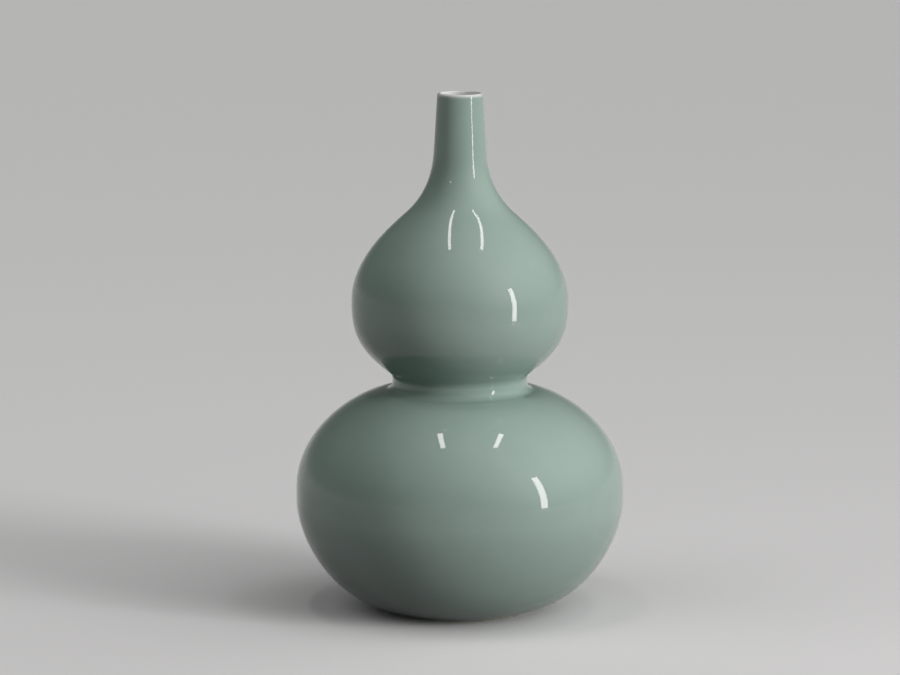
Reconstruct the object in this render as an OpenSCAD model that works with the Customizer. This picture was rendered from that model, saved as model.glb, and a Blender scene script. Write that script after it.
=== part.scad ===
// Double-gourd porcelain vase: five thrown sections luted with slip,
// a grey-green glaze outside, a white liner glaze inside and a glazed base.
// Millimetres, +Z up, origin on the axis in the plane of the table.

/* [Overall] */
// Height from the table to the top of the lip
height = 300; // [296:1:306]

/* [Foot] */
// Outer diameter of the glazed corner of the foot ring
foot_d = 88; // [82:1:94]
// Width of the foot ring
foot_w = 6.5; // [5:0.5:9]
// Depth of the recess under the base
recess_h = 3; // [3:0.5:4]
// Height at which the glaze stops above the table
glaze_line = 0.6; // [0.5:0.1:1]
// Radius of the hollow corner between foot and underside
foot_fillet = 0.4; // [0.3:0.1:0.8]

/* [Lower bulb] */
// Largest diameter of the lower bulb
belly_d = 190; // [184:0.5:197]
// Height of the largest diameter
belly_z = 67.5; // [64:0.5:71]
// Rise of the underside where it leaves the foot, in degrees
underside_rise = 10; // [7:1:14]
// Reach of the flat part of the underside
underside_reach = 32; // [26:0.5:38]
// Fullness of the bulb below its largest diameter
belly_fullness_low = 22; // [16:0.5:28]
// Fullness of the bulb above its largest diameter
belly_fullness_high = 36; // [31:0.5:41]
// Slope of the shoulder where it meets the waist, in degrees
shoulder_slope = 2; // [1:1:8]
// Reach of the flat part of the shoulder
shoulder_reach = 13.5; // [9:0.5:17]

/* [Waist] */
// Diameter of the waist
waist_d = 78; // [72:0.5:82]
// Height of the waist joint
waist_z = 133.5; // [131:0.5:136]
// Radius of the hollow corner on the lower bulb
waist_fillet_low = 5; // [4:0.5:7]
// Radius of the hollow corner under the upper bulb
waist_fillet_high = 6; // [4:0.5:7]

/* [Upper bulb] */
// Slope of the bowl where it leaves the waist, in degrees
bowl_slope = 38; // [35:1:43]
// Reach of the straight part of the bowl
bowl_reach = 16; // [12:0.5:18]
// Largest diameter of the upper bulb
upper_d = 125; // [120:0.5:131]
// Height of the largest diameter
upper_z = 178.5; // [175:0.5:182]
// Fullness of the bulb below its largest diameter
upper_fullness_low = 19; // [16:0.5:22]
// Fullness of the bulb above its largest diameter
upper_fullness_high = 23.5; // [20:0.5:28]
// Diameter at which the shoulder turns hollow
turn_d = 61.5; // [57:0.5:65]
// Height at which the shoulder turns hollow
turn_z = 231.5; // [228:0.5:235]
// Lean of the shoulder there from upright, in degrees
turn_lean = 48; // [44:1:53]

/* [Neck] */
// Outer diameter at the foot of the neck
neck_d = 30.1; // [29:0.1:32]
// Height of the foot of the neck
neck_z = 267; // [264:0.5:270]
// Outer diameter of the mouth
mouth_d = 26.3; // [26.1:0.1:28]
// Clear diameter of the mouth and neck
bore_d = 22.4; // [20:0.1:22.6]
// Radius of the outer edge of the lip
lip_out_r = 1.4; // [1:0.1:1.5]

/* [Walls] */
// Wall thickness at the base
base_wall = 6; // [5:0.5:7]
// Thickness of each layer of joining slip
slip_t = 0.8; // [0.5:0.1:1]
// Depth of the groove that centres one section on the next
groove_h = 1.4; // [0.8:0.2:2]
// Height of the bead of slip left inside a joint
bead_h = 0.8; // [0.4:0.1:1.2]

/* [Glazes] */
// Thickness of the outer glaze
glaze_t = 0.45; // [0.3:0.05:0.6]
// Extra thickness where the glaze pools in the waist
pool_t = 0.4; // [0.1:0.05:0.6]
// Thickness of the inner glaze
liner_t = 0.3; // [0.2:0.05:0.4]
// Thickness of the glaze in the foot recess
base_glaze_t = 0.35; // [0.2:0.05:0.5]

/* [Hidden] */
$fn = 120;

biscuit_colour = "#efece3";
slip_colour = "#ddd6c6";
celadon_colour = "#9bb3a7";
white_colour = "#f2f3ef";

foot_r = foot_d / 2;
belly_r = belly_d / 2;
waist_r = waist_d / 2;
upper_r = upper_d / 2;
neck_r = neck_d / 2;
mouth_r = mouth_d / 2;
bore_r = bore_d / 2;

// Half heights of the upright bands that carry the joints
belly_half = 3;
waist_half = 0.6;
upper_half = 2;

// Pulls of the curves on both sides of the turn of the shoulder
turn_pull_low = 14;
turn_pull_high = 17;
neck_pull = 9.5;

// Upright glazed edge and chamfer of the foot, corner of its recess, bare height inside it
foot_upright = 0.4;
foot_chamfer = 0.4;
recess_fillet = 1.5;
foot_clear = 1;

// Upright reach of the pooled glaze on both sides of the waist
pool_reach = 14;

// Steps along a bulb, a flare, a fillet, a lip edge and one side of a bead
bulb_steps = 24;
flare_steps = 14;
fillet_steps = 8;
lip_steps = 6;
bead_steps = 4;

up = 90;
inward = 180;
down = 270;
slip_half = slip_t / 2;
lip_in_r = mouth_r - lip_out_r - bore_r;
neck_top_z = height - lip_out_r;
bore_top_z = height - lip_in_r;
bore_wall_r = bore_r + liner_t;
neck_heading = atan2(neck_top_z - neck_z, mouth_r - neck_r);
neck_wall = neck_r - bore_wall_r - glaze_t;

// A station is [radius, height, heading]; headings are in degrees from outward
function along(length, heading) = length * [cos(heading), sin(heading)];
function station(point, heading) = [point[0], point[1], heading];
function back(list) = [for (i = [len(list) - 1:-1:0]) list[i]];
function all_but_last(list) = [for (i = [0:len(list) - 2]) list[i]];
function all_but_first(list) = [for (i = [1:len(list) - 1]) list[i]];
function points(path) = [for (s = path) [s[0], s[1]]];

function upright(radius, low, high, steps) =
    [for (i = [0:steps]) [radius, low + (high - low) * i / steps, up]];

// Cubic curve between two headings, pulled out along each of them
function curve(start, heading_a, pull_a, end, heading_b, pull_b, steps) =
    let (a = start + along(pull_a, heading_a), b = end - along(pull_b, heading_b))
    [for (i = [0:steps])
        let (
            t = i / steps,
            u = 1 - t,
            place = start * u^3 + 3 * a * t * u^2 + 3 * b * t^2 * u + end * t^3,
            run = (a - start) * u^2 + 2 * (b - a) * t * u + (end - b) * t^2
        )
        station(place, atan2(run[1], run[0]))];

// Arc that turns outward, for a hollow corner
function hollow(centre, radius, from, to, steps) =
    [for (i = [0:steps])
        let (heading = from + (to - from) * i / steps)
        station(centre + along(radius, heading + 90), heading)];

// Arc that turns inward, for a rounded edge
function rounded(centre, radius, from, to, steps) =
    [for (i = [0:steps])
        let (heading = from + (to - from) * i / steps)
        station(centre + along(radius, heading - 90), heading)];

// The glazed outline, in the pieces that the joints divide
foot_centre = [foot_r + foot_fillet, glaze_line + foot_upright];
foot_path = concat(
    upright(foot_r, glaze_line, foot_centre[1], 1),
    all_but_first(hollow(foot_centre, foot_fillet, up, underside_rise, fillet_steps))
);
underside_start = foot_centre + along(foot_fillet, underside_rise + 90);
underside_path = curve(
    underside_start, underside_rise, underside_reach,
    [belly_r, belly_z - belly_half], up, belly_fullness_low, bulb_steps
);
belly_low = upright(belly_r, belly_z - belly_half, belly_z - slip_half, bead_steps);
belly_high = upright(belly_r, belly_z + slip_half, belly_z + belly_half, bead_steps);

shoulder_heading = inward - shoulder_slope;
waist_low_centre = [waist_r + waist_fillet_low, waist_z - waist_half];
waist_high_centre = [waist_r + waist_fillet_high, waist_z + waist_half];
shoulder_end = waist_low_centre + along(waist_fillet_low, shoulder_heading + 90);
bowl_start = waist_high_centre + along(waist_fillet_high, bowl_slope + 90);
shoulder_path = curve(
    [belly_r, belly_z + belly_half], up, belly_fullness_high,
    shoulder_end, shoulder_heading, shoulder_reach, bulb_steps
);
waist_low = concat(
    hollow(waist_low_centre, waist_fillet_low, shoulder_heading, up, fillet_steps),
    [[waist_r, waist_z - slip_half, up]]
);
waist_high = concat(
    [[waist_r, waist_z + slip_half, up]],
    hollow(waist_high_centre, waist_fillet_high, up, bowl_slope, fillet_steps)
);

bowl_path = curve(
    bowl_start, bowl_slope, bowl_reach,
    [upper_r, upper_z - upper_half], up, upper_fullness_low, bulb_steps
);
upper_low = upright(upper_r, upper_z - upper_half, upper_z - slip_half, bead_steps);
upper_high = upright(upper_r, upper_z + slip_half, upper_z + upper_half, bead_steps);

turn = [turn_d / 2, turn_z];
turn_heading = up + turn_lean;
cap_path = concat(
    curve([upper_r, upper_z + upper_half], up, upper_fullness_high,
        turn, turn_heading, turn_pull_low, bulb_steps),
    all_but_first(curve(turn, turn_heading, turn_pull_high,
        [neck_r, neck_z], neck_heading, neck_pull, flare_steps))
);

neck_start = [neck_r, neck_z] + along(slip_t / sin(neck_heading), neck_heading);
neck_path = [station(neck_start, neck_heading), [mouth_r, neck_top_z, up]];
lip_path = concat(
    rounded([mouth_r - lip_out_r, neck_top_z], lip_out_r, up, inward, lip_steps),
    all_but_first(rounded([bore_r + lip_in_r, bore_top_z], lip_in_r, inward, down, lip_steps))
);

// Depths below the glazed outline
function pool_at(z) =
    abs(z - waist_z) < pool_reach ? pool_t * cos(90 * (z - waist_z) / pool_reach)^2 : 0;
function thinning_at(z) = max(0, (z - neck_z) / (neck_top_z - neck_z)) * (glaze_t - liner_t);
function glaze_at(z) = glaze_t + pool_at(z) - thinning_at(z);
function wall_at(z) = glaze_t + base_wall + (neck_wall - base_wall) * z / neck_z;
function sunk(s, depth) = [s[0] - depth * sin(s[2]), s[1] + depth * cos(s[2])];

function biscuit(path) = [for (s = path) sunk(s, glaze_at(s[1]))];
function inner_wall(path, skin = 0) = [for (s = path) sunk(s, wall_at(s[1]) + skin)];

// Inner wall with the slip bead rising to its full height at one end of the path
function beaded(path, full_at_end, skin = 0) =
    let (last = len(path) - 1)
    [for (i = [0:last])
        let (part = (full_at_end ? i : last - i) / last)
        sunk(path[i], wall_at(path[i][1]) + bead_h * sin(90 * part)^2 + skin)];

// Middle of a grooved rim between its outer and inner edge
function groove(outer, inner) = (outer + inner) / 2 - [0, groove_h];

floor_z = inner_wall(underside_path)[0][1];
bore_wall_low = [bore_wall_r, neck_z];
bore_wall_high = [bore_wall_r, neck_z + slip_t];

// Wall of a section between its lower and upper rims
module section(outline) {
    outer = biscuit(outline);
    inner = inner_wall(outline);
    low_groove = groove(outer[0], inner[0]);
    high_groove = groove(outer[len(outer) - 1], inner[len(inner) - 1]);
    rotate_extrude()
        polygon(concat(outer, [high_groove], back(inner), [low_groove]));
}

// Slip between two grooved rims, with the bead squeezed out inside
module lute(low, high) {
    low_outer = biscuit(low)[len(low) - 1];
    high_outer = biscuit(high)[0];
    low_inner = inner_wall(low);
    high_inner = inner_wall(high);
    rotate_extrude()
        polygon(concat(
            [low_outer, high_outer, groove(high_outer, high_inner[0])],
            high_inner,
            all_but_first(back(beaded(high, false))),
            all_but_last(back(beaded(low, true))),
            low_inner,
            [groove(low_outer, low_inner[len(low) - 1])]
        ));
}

// Hollow under the base, from its centre to the inside of the foot ring
function recess(depth) =
    let (
        ring_r = foot_r - foot_w - glaze_t - depth,
        ceiling = recess_h - depth,
        radius = recess_fillet - depth,
        centre = [ring_r - radius, ceiling - radius]
    )
    concat(
        [[0, ceiling]],
        [for (i = [0:fillet_steps]) centre + along(radius, up * (1 - i / fillet_steps))],
        [[ring_r, foot_clear]]
    );

// Floor, lower half of the lower bulb and turned foot ring
module base_section() {
    outline = concat(foot_path, all_but_first(underside_path), all_but_first(belly_low));
    outer = biscuit(outline);
    inner = inner_wall(concat(underside_path, all_but_first(belly_low)));
    foot_out = outer[0][0];
    foot_in = foot_r - foot_w - glaze_t;
    color(biscuit_colour)
        rotate_extrude()
            polygon(concat(
                recess(0),
                [
                    [foot_in, foot_chamfer],
                    [foot_in + foot_chamfer, 0],
                    [foot_out - foot_chamfer, 0],
                    [foot_out, foot_chamfer]
                ],
                outer,
                [groove(outer[len(outer) - 1], inner[len(inner) - 1])],
                back(inner),
                [[0, floor_z]]
            ));
}

// Upper half of the lower bulb
module lower_shoulder_section() {
    color(biscuit_colour)
        section(concat(belly_high, all_but_first(shoulder_path), all_but_first(waist_low)));
}

// Lower half of the upper bulb
module upper_bowl_section() {
    color(biscuit_colour)
        section(concat(waist_high, all_but_first(bowl_path), all_but_first(upper_low)));
}

// Upper half of the upper bulb, up to the foot of the neck
module upper_shoulder_section() {
    outline = concat(upper_high, all_but_first(cap_path));
    outer = biscuit(outline);
    inner = concat(all_but_last(inner_wall(outline)), [bore_wall_low]);
    color(biscuit_colour)
        rotate_extrude()
            polygon(concat(
                outer,
                [groove(outer[len(outer) - 1], bore_wall_low)],
                back(inner),
                [groove(outer[0], inner[0])]
            ));
}

// Neck and lip
module neck_section() {
    outer = biscuit(neck_path);
    lip = [for (s = all_but_first(lip_path)) sunk(s, liner_t)];
    color(biscuit_colour)
        rotate_extrude()
            polygon(concat(outer, lip, [bore_wall_high, groove(outer[0], bore_wall_high)]));
}

module belly_lute() {
    color(slip_colour) lute(belly_low, belly_high);
}

module waist_lute() {
    color(slip_colour) lute(waist_low, waist_high);
}

module upper_belly_lute() {
    color(slip_colour) lute(upper_low, upper_high);
}

// Slip under the neck, trimmed flush inside
module neck_lute() {
    low_outer = biscuit(cap_path)[len(cap_path) - 1];
    high_outer = biscuit(neck_path)[0];
    color(slip_colour)
        rotate_extrude()
            polygon([
                low_outer,
                high_outer,
                groove(high_outer, bore_wall_high),
                bore_wall_high,
                bore_wall_low,
                groove(low_outer, bore_wall_low)
            ]);
}

// Grey-green glaze from above the foot to below the lip
module outer_glaze() {
    outline = concat(
        foot_path, all_but_first(underside_path), all_but_first(belly_low),
        belly_high, all_but_first(shoulder_path), all_but_first(waist_low),
        waist_high, all_but_first(bowl_path), all_but_first(upper_low),
        upper_high, all_but_first(cap_path), neck_path
    );
    color(celadon_colour)
        rotate_extrude()
            polygon(concat(points(all_but_first(outline)), back(biscuit(outline))));
}

// Inside of the vase from the lip to the centre of the floor, a skin's depth off the wall
function lined(skin) = concat(
    [for (s = lip_path) sunk(s, liner_t - skin)],
    [[bore_wall_r - skin, neck_z]],
    back(all_but_last(inner_wall(cap_path, skin))),
    all_but_first(back(beaded(upper_high, false, skin))),
    back(beaded(upper_low, true, skin)),
    all_but_first(back(inner_wall(bowl_path, skin))),
    all_but_first(back(beaded(waist_high, false, skin))),
    back(beaded(waist_low, true, skin)),
    all_but_first(back(inner_wall(shoulder_path, skin))),
    all_but_first(back(beaded(belly_high, false, skin))),
    back(beaded(belly_low, true, skin)),
    all_but_first(back(inner_wall(underside_path, skin))),
    [[0, floor_z + skin]]
);

// White glaze over the lip and the whole inside
module inner_glaze() {
    color(white_colour)
        rotate_extrude()
            polygon(concat(lined(0), back(lined(liner_t))));
}

// White glaze in the recess under the base
module base_glaze() {
    color(white_colour)
        rotate_extrude()
            polygon(concat(recess(0), back(recess(base_glaze_t))));
}

base_section();
lower_shoulder_section();
upper_bowl_section();
upper_shoulder_section();
neck_section();
belly_lute();
waist_lute();
upper_belly_lute();
neck_lute();
outer_glaze();
inner_glaze();
base_glaze();
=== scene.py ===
import math

import bpy
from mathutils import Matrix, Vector


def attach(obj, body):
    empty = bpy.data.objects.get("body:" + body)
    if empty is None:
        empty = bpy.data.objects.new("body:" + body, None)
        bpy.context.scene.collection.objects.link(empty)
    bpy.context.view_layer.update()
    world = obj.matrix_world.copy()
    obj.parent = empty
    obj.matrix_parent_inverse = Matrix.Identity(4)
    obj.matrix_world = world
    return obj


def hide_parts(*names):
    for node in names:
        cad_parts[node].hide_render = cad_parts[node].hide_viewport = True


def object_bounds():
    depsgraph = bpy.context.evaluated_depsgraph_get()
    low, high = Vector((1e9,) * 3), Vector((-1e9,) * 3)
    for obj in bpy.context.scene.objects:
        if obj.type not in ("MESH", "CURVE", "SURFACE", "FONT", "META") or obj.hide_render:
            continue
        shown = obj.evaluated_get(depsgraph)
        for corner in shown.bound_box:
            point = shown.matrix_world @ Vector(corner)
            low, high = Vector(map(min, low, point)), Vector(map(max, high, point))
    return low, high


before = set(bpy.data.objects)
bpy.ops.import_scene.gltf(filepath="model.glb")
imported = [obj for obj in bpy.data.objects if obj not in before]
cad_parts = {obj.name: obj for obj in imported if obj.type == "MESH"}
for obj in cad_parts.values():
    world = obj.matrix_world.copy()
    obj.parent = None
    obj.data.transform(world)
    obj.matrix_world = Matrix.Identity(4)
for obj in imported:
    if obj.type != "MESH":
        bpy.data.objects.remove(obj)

cad_box = [list(corner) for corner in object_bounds()]

# Sizes of the vase, in metres
MM = 0.001
HEIGHT = 300 * MM

# Foot ring, the edge of the glaze above it and the recess inside it
FOOT_R = 44 * MM
FOOT_W = 6.5 * MM
FOOT_EDGE_R = 0.5 * MM
FOOT_CORNER_R = 0.4 * MM
GLAZE_LINE = 0.6 * MM
RECESS_H = 3 * MM
RECESS_CORNER_R = 1.5 * MM
BARE_INSIDE = 1 * MM

# Lower bulb, which reaches the nearest side of the CAD's box and stays inside it
BELLY_R = min(-cad_box[0][0], -cad_box[0][1], cad_box[1][0], cad_box[1][1])
BELLY_LOW, BELLY_HIGH = 64.5 * MM, 70.5 * MM

# Waist and upper bulb
WAIST_R = 39 * MM
WAIST_LOW, WAIST_HIGH = 132.9 * MM, 134.1 * MM
WAIST_CORNER_LOW, WAIST_CORNER_HIGH = 5 * MM, 6 * MM
UPPER_R = 62.5 * MM
UPPER_LOW, UPPER_HIGH = 176.5 * MM, 180.5 * MM

# Radius and height where the upper bulb turns into the flare, and where the flare becomes the neck
TURN = (30.75 * MM, 231.5 * MM)
NECK = (15.05 * MM, 267 * MM)

# Mouth and the two roundings of its lip
MOUTH_R = 13.15 * MM
BORE_R = 11.2 * MM
LIP_OUT_R = 1.4 * MM
LIP_IN_R = MOUTH_R - LIP_OUT_R - BORE_R
NECK_TOP = HEIGHT - LIP_OUT_R
BORE_TOP = HEIGHT - LIP_IN_R

# Thickness of the wall with its outer glaze, and of each glaze; the outer one pools in the waist
WALL_BASE, WALL_NECK = 6.45 * MM, 3.55 * MM
GLAZE_T = 0.45 * MM
POOL_T, POOL_REACH = 0.4 * MM, 14 * MM
LINING_T = 0.3 * MM
RECESS_GLAZE_T = 0.35 * MM

# Slip joints between the thrown sections, and the bead of slip inside each
BELLY_JOINT, WAIST_JOINT, UPPER_JOINT = 67.5 * MM, 133.5 * MM, 178.5 * MM
SLIP_HALF = 0.4 * MM
GROOVE_H = 1.4 * MM
BEAD_H = 0.8 * MM

# Clay under the glaze at the foot, outside and inside its ring
CLAY_FOOT_R = FOOT_R - GLAZE_T
RING_R = CLAY_FOOT_R - FOOT_W

# Headings of the outline, in degrees from outward
OUT, UP, IN, DOWN = 0, 90, 180, 270
UNDERSIDE_RISE = 10
SHOULDER_HEADING = 178
BOWL_HEADING = 38
TURN_HEADING = 138
NECK_HEADING = math.degrees(math.atan2(NECK_TOP - NECK[1], MOUTH_R - NECK[0]))

# How far each curve of the outline is pulled along its heading, at its start and at its end
UNDERSIDE_PULLS = (32 * MM, 22 * MM)
SHOULDER_PULLS = (36 * MM, 13.5 * MM)
BOWL_PULLS = (16 * MM, 19 * MM)
CAP_PULLS = (23.5 * MM, 14 * MM)
FLARE_PULLS = (17 * MM, 9.5 * MM)

# Steps along a bulb, a flare, a rounded edge and half a bead, and round the wheel
BULB_STEPS = 36
FLARE_STEPS = 22
EDGE_STEPS = 10
BEAD_STEPS = 4
WHEEL_STEPS = 192

# A hidden side keeps one point in this many
HIDDEN_STRIDE = 3

# Points nearer than this are merged, and edges flatter than this angle in degrees are smooth
MERGE_DISTANCE = 0.001 * MM
SMOOTH_ANGLE = 50

# Colours of the glazes and the clay
CELADON = (0.325, 0.434, 0.378, 1)
CELADON_DEEP = (0.268, 0.381, 0.325, 1)
CELADON_THIN = (0.76, 0.76, 0.73, 1)
WHITE_GLAZE = (0.86, 0.86, 0.84, 1)
WHITE_GLAZE_THICK = (0.78, 0.80, 0.78, 1)
PINHOLE = (0.10, 0.09, 0.06, 1)
BISCUIT = (0.82, 0.78, 0.71, 1)
BISCUIT_DARK = (0.72, 0.67, 0.59, 1)
# Iron flash, darkened as painted shade on the foot
BISCUIT_FLASH_AND_SHADE = (0.24, 0.15, 0.09, 1)
KILN_GRIT = (0.20, 0.14, 0.09, 1)
SLIP = (0.70, 0.66, 0.58, 1)
SLIP_DARK = (0.60, 0.56, 0.48, 1)

# Roughness under a glaze, of its clear gloss, of bare clay and of slip
GLAZED_ROUGHNESS = 0.3
GLOSS_ROUGHNESS = 0.03
BISCUIT_ROUGHNESS = 0.75
SLIP_ROUGHNESS = 0.65

# Refraction of fired glass and clay, and the shine of a surface without gloss
FIRED_IOR = 1.5
BARE_SPECULAR = 0.5

# Skin of a poured glaze: broad and close drift of tone, waves, peel and pinholes
DRIFT_BROAD, DRIFT_CLOSE = 70 * MM, 12 * MM
BROAD_SHARE = 0.7
DRIFT_RANGE = (0.36, 0.64)
WAVE_SIZE = 36 * MM
CELADON_WAVE_H, WHITE_WAVE_H = 0.05 * MM, 0.2 * MM
PEEL_SIZE, PEEL_H = 2 * MM, 0.0002 * MM
PINHOLE_SPACING, PINHOLE_R, PINHOLE_SHARE = 14 * MM, 0.3 * MM, 0.45
PINHOLE_DEPTH = 0.03 * MM
SPOT_CORE = 0.4

# Grain of fired clay: mottle, grit and a fine tooth
MOTTLE_SIZE = 7 * MM
MOTTLE_RANGE = (0.35, 0.65)
GRIT_SPACING, GRIT_R, GRIT_SHARE = 2.6 * MM, 0.25 * MM, 0.3
TOOTH_SIZE, TOOTH_H = 0.6 * MM, 0.05 * MM

# Heights over which the grey-green glaze thins at the lip, and how ragged that edge is
LIP_THINS = (HEIGHT - 2.4 * MM, HEIGHT + 0.4 * MM)
LIP_RAGGED_SIZE, LIP_RAGGED_H = 9 * MM, 0.5 * MM

# Distances from the waist and heights above the foot over which it is deeper, and by what share
WAIST_DEEP, WAIST_DEEP_SHARE = (1 * MM, 9 * MM), 0.25
FOOT_DEEP, FOOT_DEEP_SHARE = (GLAZE_LINE, 4 * MM), 0.7
DRIFT_DEEP_SHARE = 0.35

# Turning lines under the glaze, which fade away from the waist
LINE_SPACING, LINE_H = 2.3 * MM, 0.014 * MM
LINES_FADE = (5 * MM, 14 * MM)
LINE_PATCH_SIZE = 11 * MM

# Small drop of glaze on the front of the neck, and how far from its middle it is painted pale: partly
# the glaze thinning over it, partly a painted glint
DROP = (-5.7 * MM, -17.2 * MM, 250.6 * MM)
DROP_R, DROP_H = 1.1 * MM, 0.25 * MM
DROP_THIN_AND_GLINT, DROP_THIN_AND_GLINT_SHARE = (0.3 * MM, 1.0 * MM), 0.8

# Radii over which the white lip takes the grey-green of the coat
LIP_BLEND = (MOUTH_R - 0.5 * MM, MOUTH_R + 0.5 * MM)

# Warm flash on bare clay next to the glaze, darkened as painted shade on the foot: its ragged start,
# its end and its share
FLASH_AND_SHADE_STARTS, FLASH_AND_SHADE_ENDS = (0.3 * MM, 0.9 * MM), (2 * MM, 4 * MM)
FLASH_AND_SHADE_RAGGED_SIZE, FLASH_AND_SHADE_RAGGED_H = 5 * MM, 0.8 * MM
FLASH_AND_SHADE_SHARE = 0.9


# Outline of the vase: a point is (radius, height, heading)
def along(start, length, heading):
    """The place a length from a start, along a heading."""
    turn = math.radians(heading)
    return start[0] + length * math.cos(turn), start[1] + length * math.sin(turn)


def curve(start, end, headings, pulls, steps):
    """Cubic curve between two places, pulled out along its heading at each of them."""
    a = along(start, pulls[0], headings[0])
    b = along(end, -pulls[1], headings[1])
    made = []
    for i in range(steps + 1):
        t = i / steps
        u = 1 - t
        place = [u**3 * p + 3 * t * u**2 * q + 3 * t**2 * u * r + t**3 * s
                 for p, q, r, s in zip(start, a, b, end)]
        run = [u**2 * (q - p) + 2 * t * u * (r - q) + t**2 * (s - r)
               for p, q, r, s in zip(start, a, b, end)]
        made.append((*place, math.degrees(math.atan2(run[1], run[0]))))
    return made


def arc(centre, radius, start, end):
    """Arc about a centre from one heading to another, to the left where the heading grows."""
    side = -90 if end > start else 90
    made = []
    for i in range(EDGE_STEPS + 1):
        heading = start + (end - start) * i / EDGE_STEPS
        made.append((*along(centre, radius, heading + side), heading))
    return made


def sunk(point, depth):
    """The place a depth inside the outline."""
    turn = math.radians(point[2])
    return point[0] - depth * math.sin(turn), point[1] + depth * math.cos(turn)


foot_corner = (FOOT_R + FOOT_CORNER_R, GLAZE_LINE + GLAZE_T)
underside_start = along(foot_corner, FOOT_CORNER_R, UNDERSIDE_RISE + 90)
waist_low_corner = (WAIST_R + WAIST_CORNER_LOW, WAIST_LOW)
waist_high_corner = (WAIST_R + WAIST_CORNER_HIGH, WAIST_HIGH)
shoulder_end = along(waist_low_corner, WAIST_CORNER_LOW, SHOULDER_HEADING + 90)
bowl_start = along(waist_high_corner, WAIST_CORNER_HIGH, BOWL_HEADING + 90)

foot_outline = arc(foot_corner, FOOT_CORNER_R, UP, UNDERSIDE_RISE)
underside_outline = curve(underside_start, (BELLY_R, BELLY_LOW),
                          (UNDERSIDE_RISE, UP), UNDERSIDE_PULLS, BULB_STEPS)
shoulder_outline = curve((BELLY_R, BELLY_HIGH), shoulder_end,
                         (UP, SHOULDER_HEADING), SHOULDER_PULLS, BULB_STEPS)
waist_outline = (arc(waist_low_corner, WAIST_CORNER_LOW, SHOULDER_HEADING, UP)
                 + arc(waist_high_corner, WAIST_CORNER_HIGH, UP, BOWL_HEADING))
bowl_outline = curve(bowl_start, (UPPER_R, UPPER_LOW),
                     (BOWL_HEADING, UP), BOWL_PULLS, BULB_STEPS)
cap_outline = curve((UPPER_R, UPPER_HIGH), TURN,
                    (UP, TURN_HEADING), CAP_PULLS, BULB_STEPS)
flare_outline = curve(TURN, NECK,
                      (TURN_HEADING, NECK_HEADING), FLARE_PULLS, FLARE_STEPS)
neck_outline = [(*NECK, NECK_HEADING), (MOUTH_R, NECK_TOP, NECK_HEADING)]
lip_outline = (arc((MOUTH_R - LIP_OUT_R, NECK_TOP), LIP_OUT_R, UP, IN)
               + arc((BORE_R + LIP_IN_R, BORE_TOP), LIP_IN_R, IN, DOWN)[1:])
body_outline = (underside_outline + shoulder_outline + waist_outline[1:]
                + bowl_outline[1:] + cap_outline + flare_outline[1:])


def wall_at(height):
    """Depth of the clay's inner side under the outline."""
    return WALL_BASE + (WALL_NECK - WALL_BASE) * min(1, height / NECK[1])


def coat_at(height):
    """Depth of the grey-green glaze, which pools in the waist."""
    away = min(1, abs(height - WAIST_JOINT) / POOL_REACH)
    return GLAZE_T + POOL_T * math.cos(math.pi / 2 * away) ** 2


# Pieces turned on the wheel
def turned(name, outline):
    """Draws an outline of (radius, height) places and spins it about the vase's axis."""
    bpy.ops.object.select_all(action="DESELECT")
    start = outline[0]
    bpy.ops.mesh.primitive_plane_add(size=MM, location=(0, 0, 0))
    piece = bpy.context.object
    piece.name = piece.data.name = name
    bpy.ops.object.mode_set(mode="EDIT")
    bpy.ops.mesh.merge(type="CENTER")
    bpy.ops.transform.translate(value=(start[0], 0, start[1]))
    for here, there in zip(outline, outline[1:]):
        step = (there[0] - here[0], 0, there[1] - here[1])
        bpy.ops.mesh.extrude_region_move(TRANSFORM_OT_translate={"value": step})
    bpy.ops.mesh.select_all(action="SELECT")
    bpy.ops.mesh.remove_doubles(threshold=MERGE_DISTANCE)
    bpy.ops.mesh.select_all(action="SELECT")
    bpy.ops.mesh.spin(steps=WHEEL_STEPS, angle=2 * math.pi, center=(0, 0, 0), axis=(0, 0, 1))
    bpy.ops.mesh.select_all(action="SELECT")
    bpy.ops.mesh.remove_doubles(threshold=MERGE_DISTANCE)
    bpy.ops.mesh.normals_make_consistent(inside=False)
    bpy.ops.object.mode_set(mode="OBJECT")
    bpy.ops.object.shade_smooth_by_angle(angle=math.radians(SMOOTH_ANGLE))
    return piece


def ring(shown, hidden):
    """Closed outline from the side that shows and the side that lies on the clay."""
    return shown + hidden[::-1] + shown[:1]


def dish(shown, hidden):
    """Outline that starts and ends on the vase's axis."""
    return hidden[::-1] + shown


def places(outline):
    """The points of an outline without their headings."""
    return [point[:2] for point in outline]


def thinned(outline):
    """Fewer points, for a side that is hidden."""
    return outline[:-1:HIDDEN_STRIDE] + outline[-1:]


# Grey-green glaze, from its rolled edge above the foot to the lip
coat_roll = arc((CLAY_FOOT_R, GLAZE_LINE + GLAZE_T), GLAZE_T, OUT, UP)
coat_outline = coat_roll + foot_outline[1:] + body_outline[1:] + neck_outline[1:]
coat_back = [(CLAY_FOOT_R, GLAZE_LINE)]
coat_back += [sunk(p, coat_at(p[1])) for p in thinned(foot_outline + body_outline)]
coat_back += [sunk(neck_outline[-1], LINING_T)]
grey_green_coat = turned("grey_green_coat", ring(places(coat_outline), coat_back))


# Inside of the vase, where each point of the outline has the height of the bead of slip under it
def plain(outline):
    """A stretch with no bead under it."""
    return [(point, 0) for point in outline]


def upright(radius, low, high):
    """Straight stretch from one height up to another."""
    return [(radius, low + (high - low) * i / BEAD_STEPS, UP) for i in range(BEAD_STEPS + 1)]


def to_bead(outline):
    """Rises onto the bead at the end of an outline."""
    last = len(outline) - 1
    return [(point, BEAD_H * math.sin(math.pi / 2 * i / last) ** 2)
            for i, point in enumerate(outline)]


def from_bead(outline):
    """Falls from the bead at the start of an outline."""
    return to_bead(outline[::-1])[::-1]


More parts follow.
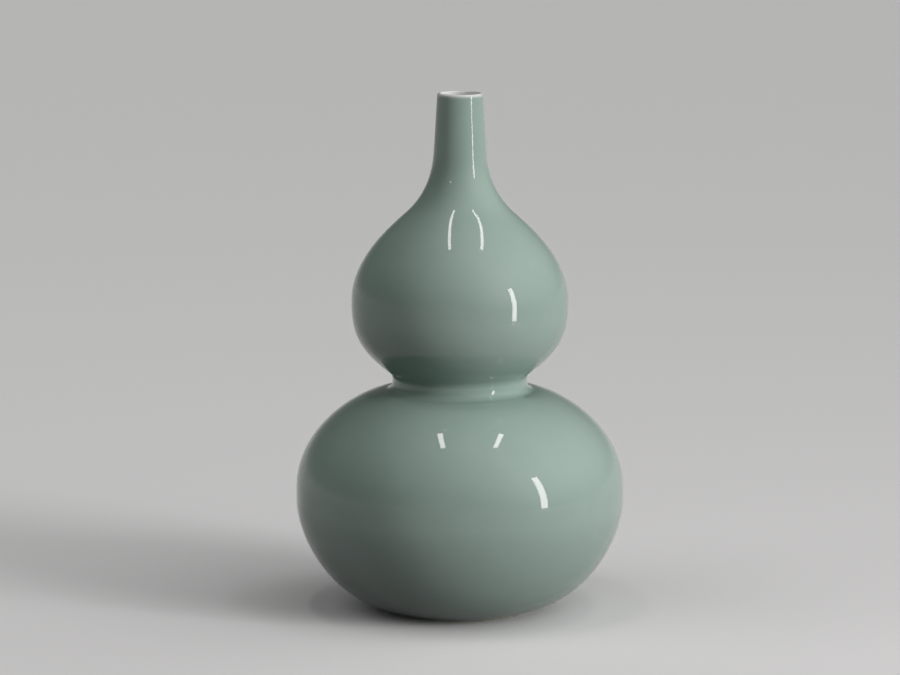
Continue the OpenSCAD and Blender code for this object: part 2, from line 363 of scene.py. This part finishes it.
belly_low = upright(BELLY_R, BELLY_LOW, BELLY_JOINT - SLIP_HALF)
belly_high = upright(BELLY_R, BELLY_JOINT + SLIP_HALF, BELLY_HIGH)
waist_low = waist_outline[:EDGE_STEPS + 1] + [(WAIST_R, WAIST_JOINT - SLIP_HALF, UP)]
waist_high = [(WAIST_R, WAIST_JOINT + SLIP_HALF, UP)] + waist_outline[EDGE_STEPS + 1:]
upper_low = upright(UPPER_R, UPPER_LOW, UPPER_JOINT - SLIP_HALF)
upper_high = upright(UPPER_R, UPPER_JOINT + SLIP_HALF, UPPER_HIGH)
inside = (plain(underside_outline) + to_bead(belly_low) + from_bead(belly_high)
          + plain(shoulder_outline) + to_bead(waist_low) + from_bead(waist_high)
          + plain(bowl_outline) + to_bead(upper_low) + from_bead(upper_high)
          + plain(cap_outline + flare_outline[:-1]))[::-1]
inside_thinned = [pair for i, pair in enumerate(inside) if pair[1] or i % HIDDEN_STRIDE == 0]
inside_thinned += inside[-1:]

# White glaze over the lip and down the whole inside
lining = places(lip_outline) + [(BORE_R, NECK[1])]
lining += [sunk(p, wall_at(p[1]) + bead + LINING_T) for p, bead in inside]
lining += [(0, lining[-1][1])]
lining_back = [sunk(p, LINING_T) for p in lip_outline] + [(BORE_R + LINING_T, NECK[1])]
lining_back += [sunk(p, wall_at(p[1]) + bead) for p, bead in inside_thinned]
lining_back += [(0, lining_back[-1][1])]
white_lining = turned("white_lining", dish(lining, lining_back))

# Turned foot ring with the floor and the lower half of the lower bulb, up to its grooved rim
recess_corner = (RING_R - RECESS_CORNER_R, RECESS_H - RECESS_CORNER_R)
recess_outline = [(0, RECESS_H, OUT)] + arc(recess_corner, RECESS_CORNER_R, OUT, -UP)
ring_outline = arc((RING_R + FOOT_EDGE_R, FOOT_EDGE_R), FOOT_EDGE_R, DOWN, DOWN + 90)
ring_outline += arc((CLAY_FOOT_R - FOOT_EDGE_R, FOOT_EDGE_R), FOOT_EDGE_R, OUT, UP)
clay_outer = [sunk(p, GLAZE_T) for p in foot_outline + underside_outline + belly_low]
clay_inner = [sunk(p, wall_at(p[1])) for p in (underside_outline + belly_low)[::-1]]
groove = ((clay_outer[-1][0] + clay_inner[0][0]) / 2, clay_outer[-1][1] - GROOVE_H)
clay_outline = places(recess_outline + ring_outline) + clay_outer + [groove] + clay_inner
clay_outline += [(0, clay_outline[-1][1])]
foot_and_floor = turned("foot_and_floor", clay_outline)

# White glaze in the recess under the base
recess_cover = [(RING_R, BARE_INSIDE, -UP)] + recess_outline[::-1]
recess_shown = [sunk(p, -RECESS_GLAZE_T) for p in recess_cover]
recess_glaze = turned("recess_glaze", dish(recess_shown, places(recess_cover)))


# Finishes
def node(tree, kind, inputs=None, **settings):
    """Adds a node; inputs maps a socket to its value or to the socket that feeds it."""
    made = tree.nodes.new(kind)
    for name, value in settings.items():
        setattr(made, name, value)
    for socket, value in (inputs or {}).items():
        if isinstance(value, bpy.types.NodeSocket):
            tree.links.new(value, made.inputs[socket])
        else:
            made.inputs[socket].default_value = value
    return made


def worked(tree, operation, a, b=0.0):
    """A sum or another operation on one or two values."""
    return node(tree, "ShaderNodeMath", {0: a, 1: b}, operation=operation).outputs[0]


def soft_step(tree, value, low, high, at_low, at_high):
    """Soft step of a value from one level to another."""
    levels = {"Value": value, "From Min": low, "From Max": high, "To Min": at_low, "To Max": at_high}
    made = node(tree, "ShaderNodeMapRange", levels, interpolation_type="SMOOTHSTEP")
    return made.outputs["Result"]


def noise(tree, place, size, detail=2.0):
    """Noise from 0 to 1, with features of about a size in metres."""
    made = node(tree, "ShaderNodeTexNoise", {"Vector": place, "Scale": 1 / size, "Detail": detail})
    return made.outputs["Fac"]


def height_at(tree, place):
    """Height of a place or a direction."""
    return node(tree, "ShaderNodeSeparateXYZ", {0: place}).outputs["Z"]


def from_axis(tree, place):
    """Distance of a place from the vase's axis."""
    across = node(tree, "ShaderNodeVectorMath", {0: place, 1: (1, 1, 0)}, operation="MULTIPLY")
    made = node(tree, "ShaderNodeVectorMath", {0: across.outputs[0]}, operation="LENGTH")
    return made.outputs["Value"]


def from_waist(tree, place):
    """Height of a place above or below the waist."""
    above = worked(tree, "SUBTRACT", height_at(tree, place), WAIST_LOW)
    return worked(tree, "ABSOLUTE", above)


def from_drop(tree, place):
    """Distance of a place from the drop of glaze on the neck."""
    made = node(tree, "ShaderNodeVectorMath", {0: place, 1: DROP}, operation="DISTANCE")
    return made.outputs["Value"]


def tinted(tree, share, under, over):
    """One colour over another by a share."""
    return node(tree, "ShaderNodeMix", {0: share, 6: under, 7: over}, data_type="RGBA").outputs[2]


def spots(tree, place, spacing, radius, share):
    """Small round spots in that share of the cells of a spacing."""
    cells = node(tree, "ShaderNodeTexVoronoi", {"Vector": place, "Scale": 1 / spacing})
    chance = node(tree, "ShaderNodeSeparateColor", {0: cells.outputs["Color"]}).outputs[0]
    edge = radius / spacing
    near = soft_step(tree, cells.outputs["Distance"], SPOT_CORE * edge, edge, 1, 0)
    return worked(tree, "MULTIPLY", near, worked(tree, "LESS_THAN", chance, share))


def effect(name, inputs, outputs):
    """A node group with its sockets: the tree, what it is given and what it results in."""
    tree = bpy.data.node_groups.new(name, "ShaderNodeTree")
    for socket, kind in inputs.items():
        tree.interface.new_socket(socket, in_out="INPUT", socket_type=kind)
    for socket in outputs:
        tree.interface.new_socket(socket, in_out="OUTPUT", socket_type="NodeSocketFloat")
    given = tree.nodes.new("NodeGroupInput").outputs
    result = tree.nodes.new("NodeGroupOutput").inputs
    return tree, given, result


def glaze_skin_effect():
    """Slow drift of tone, fine pinholes and the slightly uneven skin of a poured glaze."""
    tree, given, result = effect(
        "glaze_skin",
        {"Place": "NodeSocketVector", "Wave": "NodeSocketFloat", "Pinholes": "NodeSocketFloat"},
        ("Drift", "Pinholes", "Height"))
    place = given["Place"]
    broad = worked(tree, "MULTIPLY", noise(tree, place, DRIFT_BROAD), BROAD_SHARE)
    close = worked(tree, "MULTIPLY", noise(tree, place, DRIFT_CLOSE), 1 - BROAD_SHARE)
    drift = soft_step(tree, worked(tree, "ADD", broad, close), *DRIFT_RANGE, 0, 1)
    holes = spots(tree, place, PINHOLE_SPACING, PINHOLE_R, PINHOLE_SHARE)
    pinholes = worked(tree, "MULTIPLY", holes, given["Pinholes"])
    wave = worked(tree, "MULTIPLY", noise(tree, place, WAVE_SIZE, detail=0.0), given["Wave"])
    peel = worked(tree, "MULTIPLY", noise(tree, place, PEEL_SIZE, detail=1.0), PEEL_H)
    dip = worked(tree, "MULTIPLY", pinholes, -PINHOLE_DEPTH)
    height = worked(tree, "ADD", worked(tree, "ADD", wave, peel), dip)
    tree.links.new(drift, result["Drift"])
    tree.links.new(pinholes, result["Pinholes"])
    tree.links.new(height, result["Height"])
    return tree


def fired_clay_effect():
    """Mottle, dark grit and the grain of bare fired clay."""
    tree, given, result = effect(
        "fired_clay",
        {"Place": "NodeSocketVector", "Grit": "NodeSocketFloat"},
        ("Mottle", "Grit", "Height"))
    place = given["Place"]
    mottle = soft_step(tree, noise(tree, place, MOTTLE_SIZE, detail=4.0), *MOTTLE_RANGE, 0, 1)
    specks = spots(tree, place, GRIT_SPACING, GRIT_R, GRIT_SHARE)
    grit = worked(tree, "MULTIPLY", specks, given["Grit"])
    tooth = worked(tree, "MULTIPLY", noise(tree, place, TOOTH_SIZE, detail=3.0), TOOTH_H)
    tree.links.new(mottle, result["Mottle"])
    tree.links.new(grit, result["Grit"])
    tree.links.new(tooth, result["Height"])
    return tree


glaze_skin = glaze_skin_effect()
clay_grain = fired_clay_effect()


def new_finish(name, roughness, gloss=0.0):
    """A new material: itself, its tree, its shader and the place on the piece.

    A glossy one reflects from its clear coat alone, and a bare one from its own surface.
    """
    material = bpy.data.materials.new(name)
    material.use_nodes = True
    tree = material.node_tree
    shader = tree.nodes["Principled BSDF"]
    shader.inputs["Roughness"].default_value = roughness
    shader.inputs["IOR"].default_value = FIRED_IOR
    shader.inputs["Specular IOR Level"].default_value = BARE_SPECULAR * (1 - gloss)
    shader.inputs["Coat Weight"].default_value = gloss
    shader.inputs["Coat Roughness"].default_value = GLOSS_ROUGHNESS
    place = node(tree, "ShaderNodeTexCoord").outputs["Object"]
    return material, tree, shader, place


def coloured(tree, shader, colour, specks, speck_colour, strength):
    """Gives the shader a colour, with specks of another over it."""
    share = worked(tree, "MULTIPLY", specks, strength)
    tree.links.new(tinted(tree, share, colour, speck_colour), shader.inputs["Base Color"])


def embossed(tree, shader, height):
    """Gives the shader a relief of a height in metres."""
    bump = node(tree, "ShaderNodeBump", {"Height": height, "Strength": 1.0, "Distance": 1.0})
    tree.links.new(bump.outputs["Normal"], shader.inputs["Normal"])


def celadon_colour(tree, place, drift):
    """Pale where the glaze thins at the lip, pale on the drop where it thins and as a painted glint,
    deeper where it pools.
    """
    height = height_at(tree, place)
    ragged = worked(tree, "MULTIPLY", noise(tree, place, LIP_RAGGED_SIZE), LIP_RAGGED_H)
    thin = soft_step(tree, worked(tree, "ADD", height, ragged), *LIP_THINS, 0, 1)
    pooled = soft_step(tree, from_waist(tree, place), *WAIST_DEEP, WAIST_DEEP_SHARE, 0)
    rolled = soft_step(tree, height, *FOOT_DEEP, FOOT_DEEP_SHARE, 0)
    drifting = worked(tree, "MULTIPLY", drift, DRIFT_DEEP_SHARE)
    deep = worked(tree, "ADD", worked(tree, "MAXIMUM", pooled, rolled), drifting)
    # Pale on the drop: the glaze thinning over it, and partly a painted glint
    thin_and_glint = soft_step(tree, from_drop(tree, place), *DROP_THIN_AND_GLINT, DROP_THIN_AND_GLINT_SHARE, 0)
    colour = tinted(tree, deep, CELADON, CELADON_DEEP)
    colour = tinted(tree, thin, colour, CELADON_THIN)
    return tinted(tree, thin_and_glint, colour, CELADON_THIN)


def celadon_relief(tree, place, skin_height):
    """Turning lines round the waist and the drop on the neck, added to the skin of the glaze."""
    turns = worked(tree, "MULTIPLY", height_at(tree, place), 2 * math.pi / LINE_SPACING)
    line_height = soft_step(tree, from_waist(tree, place), *LINES_FADE, LINE_H, 0)
    lines = worked(tree, "MULTIPLY", line_height, worked(tree, "SINE", turns))
    uneven = worked(tree, "MULTIPLY", lines, noise(tree, place, LINE_PATCH_SIZE))
    raised = soft_step(tree, from_drop(tree, place), 0, DROP_R, DROP_H, 0)
    return worked(tree, "ADD", worked(tree, "ADD", skin_height, uneven), raised)


def celadon_finish():
    """Grey-green glaze outside."""
    material, tree, shader, place = new_finish("celadon", GLAZED_ROUGHNESS, gloss=1.0)
    skin = node(tree, "ShaderNodeGroup", {"Place": place, "Wave": CELADON_WAVE_H, "Pinholes": 1.0},
                node_tree=glaze_skin).outputs
    colour = celadon_colour(tree, place, skin["Drift"])
    coloured(tree, shader, colour, skin["Pinholes"], PINHOLE, strength=0.5)
    embossed(tree, shader, celadon_relief(tree, place, skin["Height"]))
    return material


def white_glaze_finish():
    """Clear glaze over white porcelain, faintly grey where it runs thick, green at the lip's edge."""
    material, tree, shader, place = new_finish("white_glaze", GLAZED_ROUGHNESS, gloss=1.0)
    skin = node(tree, "ShaderNodeGroup", {"Place": place, "Wave": WHITE_WAVE_H, "Pinholes": 0.6},
                node_tree=glaze_skin).outputs
    outer_lip = soft_step(tree, from_axis(tree, place), *LIP_BLEND, 0, 1)
    at_lip = worked(tree, "GREATER_THAN", height_at(tree, place), NECK_TOP - LINING_T)
    colour = tinted(tree, skin["Drift"], WHITE_GLAZE, WHITE_GLAZE_THICK)
    colour = tinted(tree, worked(tree, "MULTIPLY", outer_lip, at_lip), colour, CELADON)
    coloured(tree, shader, colour, skin["Pinholes"], PINHOLE, strength=0.4)
    embossed(tree, shader, skin["Height"])
    return material


def biscuit_finish():
    """Bare porcelain, with a dark band next to the glaze that is iron flash and painted shade, and
    gritty where it stood in the kiln.
    """
    material, tree, shader, place = new_finish("biscuit", BISCUIT_ROUGHNESS)
    clay = node(tree, "ShaderNodeGroup", {"Place": place, "Grit": 1.0}, node_tree=clay_grain).outputs
    height = height_at(tree, place)
    # Dark band next to the glaze: iron flash, darkened as painted shade on the foot
    uneven = worked(tree, "MULTIPLY", noise(tree, place, FLASH_AND_SHADE_RAGGED_SIZE), FLASH_AND_SHADE_RAGGED_H)
    flash_and_shade = soft_step(tree, worked(tree, "ADD", height, uneven), *FLASH_AND_SHADE_STARTS, 0, FLASH_AND_SHADE_SHARE)
    flash_and_shade = worked(tree, "MINIMUM", flash_and_shade, soft_step(tree, height, *FLASH_AND_SHADE_ENDS, 1, 0))
    colour = tinted(tree, clay["Mottle"], BISCUIT, BISCUIT_DARK)
    colour = tinted(tree, flash_and_shade, colour, BISCUIT_FLASH_AND_SHADE)
    coloured(tree, shader, colour, clay["Grit"], KILN_GRIT, strength=0.6)
    embossed(tree, shader, clay["Height"])
    return material


def slip_finish():
    """Fired joining slip, a little darker and smoother than the clay."""
    material, tree, shader, place = new_finish("slip", SLIP_ROUGHNESS)
    clay = node(tree, "ShaderNodeGroup", {"Place": place, "Grit": 0.3}, node_tree=clay_grain).outputs
    colour = tinted(tree, clay["Mottle"], SLIP, SLIP_DARK)
    coloured(tree, shader, colour, clay["Grit"], KILN_GRIT, strength=0.5)
    embossed(tree, shader, clay["Height"])
    return material


finishes = {
    "celadon": celadon_finish(),
    "white_glaze": white_glaze_finish(),
    "biscuit": biscuit_finish(),
    "slip": slip_finish(),
}


def finished(piece, finish):
    """Gives a piece its finish in place of any other."""
    piece.data.materials.clear()
    piece.data.materials.append(finishes[finish])


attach(grey_green_coat, "root")
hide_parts("outer_glaze")
finished(grey_green_coat, "celadon")

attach(white_lining, "root")
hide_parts("inner_glaze")
finished(white_lining, "white_glaze")

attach(foot_and_floor, "root")
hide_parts("base_section")
finished(foot_and_floor, "biscuit")

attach(recess_glaze, "root")
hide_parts("base_glaze")
finished(recess_glaze, "white_glaze")

for name in ("lower_shoulder_section", "upper_bowl_section", "upper_shoulder_section", "neck_section"):
    finished(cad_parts[name], "biscuit")
for name in ("belly_lute", "waist_lute", "upper_belly_lute", "neck_lute"):
    finished(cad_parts[name], "slip")

# Pale floor, which keeps the vase's shadow and throws little light back up
FLOOR = (0.90, 0.90, 0.89, 1)
FLOOR_BOUNCE = (0.08, 0.08, 0.08, 1)
FLOOR_SIZE = 40


def background_seen(tree):
    """1 for what the camera, a reflection or a clear piece sees, 0 for light that bounces."""
    path = node(tree, "ShaderNodeLightPath").outputs
    reflected = worked(tree, "MAXIMUM", path["Is Glossy Ray"], path["Is Transmission Ray"])
    return worked(tree, "MAXIMUM", path["Is Camera Ray"], reflected)


def floor_finish():
    """Matt floor, pale where it is seen and dim where it lights the vase."""
    material = bpy.data.materials.new("pale_floor")
    material.use_nodes = True
    tree = material.node_tree
    tree.nodes.clear()
    pale = node(tree, "ShaderNodeBsdfDiffuse", {"Color": FLOOR}).outputs[0]
    dim = node(tree, "ShaderNodeBsdfDiffuse", {"Color": FLOOR_BOUNCE}).outputs[0]
    surface = node(tree, "ShaderNodeMixShader", {0: background_seen(tree), 1: dim, 2: pale}).outputs[0]
    node(tree, "ShaderNodeOutputMaterial", {"Surface": surface})
    return material


bpy.ops.object.select_all(action="DESELECT")
bpy.ops.mesh.primitive_plane_add(size=FLOOR_SIZE, location=(0, 0, 0))
floor = bpy.context.object
floor.name = "pale_floor"
floor.data.materials.append(floor_finish())

# Studio light: a soft tent, brightest on the right, three strip lamps and two soft fills

# Each soft light of the tent: its turn, its rise, how narrow it is, and its level
TENT = ((60, 27, 7, 1.05), (110, 27, 7, 0.5), (45, 70, 7, 0.4))
TENT_LEVEL = 0.03

# Level glow all round, where the tent meets the floor, and how fast it fades upwards
TENT_HEM = 0.4
TENT_HEM_FADE = -8

# Colour of the strip lamps, and their width
STRIP_TINT = (1.0, 0.91, 0.96)
STRIP_WIDTH = 0.085


def facing(turn, rise):
    """Direction at a turn from the front towards the right, and a rise above level."""
    turn, rise = math.radians(turn), math.radians(rise)
    return Vector((math.sin(turn) * math.cos(rise), -math.cos(turn) * math.cos(rise), math.sin(rise)))


def tent():
    """Soft light from all round, as the world."""
    world = bpy.data.worlds.new("tent")
    world.use_nodes = True
    tree = world.node_tree
    towards = node(tree, "ShaderNodeTexCoord").outputs["Generated"]
    level = TENT_LEVEL
    for turn, rise, narrow, bright in TENT:
        middle = {0: towards, 1: facing(turn, rise)}
        dot = node(tree, "ShaderNodeVectorMath", middle, operation="DOT_PRODUCT").outputs["Value"]
        away = worked(tree, "MULTIPLY", worked(tree, "SUBTRACT", dot, 1), narrow)
        soft = worked(tree, "MULTIPLY", worked(tree, "EXPONENT", away), bright)
        level = worked(tree, "ADD", soft, level)
    above = worked(tree, "MAXIMUM", height_at(tree, towards), 0)
    fade = worked(tree, "EXPONENT", worked(tree, "MULTIPLY", above, TENT_HEM_FADE))
    level = worked(tree, "MAXIMUM", level, worked(tree, "MULTIPLY", fade, TENT_HEM))
    air = tree.nodes["Background"]
    air.inputs["Color"].default_value = (1, 1, 1, 1)
    tree.links.new(level, air.inputs["Strength"])
    return world


def strip_lamp(name, place, aim, length, level):
    """A narrow lamp of a level of brightness, turned to what it lights."""
    bpy.ops.object.light_add(type="AREA", location=place)
    made = bpy.context.object
    made.name = made.data.name = name
    made.rotation_euler = (Vector(aim) - Vector(place)).to_track_quat("-Z", "Y").to_euler()
    made.data.shape = "RECTANGLE"
    made.data.size = STRIP_WIDTH
    made.data.size_y = length
    made.data.energy = level * math.pi * STRIP_WIDTH * length
    made.data.color = STRIP_TINT


def soft_fill(name, turn, rise, spread, level):
    """Wide soft light that fills the shade and leaves no highlight."""
    bpy.ops.object.light_add(type="SUN", location=facing(turn, rise))
    made = bpy.context.object
    made.name = made.data.name = name
    made.rotation_euler = (-facing(turn, rise)).to_track_quat("-Z", "Y").to_euler()
    made.data.angle = math.radians(spread)
    made.data.energy = level * math.pi
    made.visible_glossy = False


bpy.context.scene.world = tent()
strip_lamp("right_strip", place=(0.81, -0.51, 0.33), aim=(0, 0, 0.33), length=0.62, level=11)
strip_lamp("top_left_strip", place=(-0.30, -0.225, 2.0), aim=(-0.30, -0.225, 0), length=0.57, level=10)
strip_lamp("top_right_strip", place=(0.64, -0.13, 2.0), aim=(0.64, -0.13, 0), length=0.56, level=10)
soft_fill("right_fill", turn=60, rise=14, spread=24, level=0.42)
soft_fill("left_fill", turn=-75, rise=46, spread=50, level=0.14)

# Camera: its pitch in degrees, its distance, the place it looks at, and its lens in millimetres
VIEW_PITCH = 9.2
VIEW_DISTANCE = 2.31
VIEW_AIM = (-5.7 * MM, 0, 158.3 * MM)
SENSOR_WIDTH = 36
LENS = 160
pitch = math.radians(VIEW_PITCH)
bpy.ops.object.camera_add(
    location=(VIEW_AIM[0], VIEW_AIM[1] - VIEW_DISTANCE * math.cos(pitch),
              VIEW_AIM[2] + VIEW_DISTANCE * math.sin(pitch)),
    rotation=(math.radians(90) - pitch, 0, 0))
camera = bpy.context.object
camera.data.sensor_width = SENSOR_WIDTH
camera.data.lens = LENS
bpy.context.scene.camera = camera

bpy.context.scene.view_settings.view_transform = "Standard"
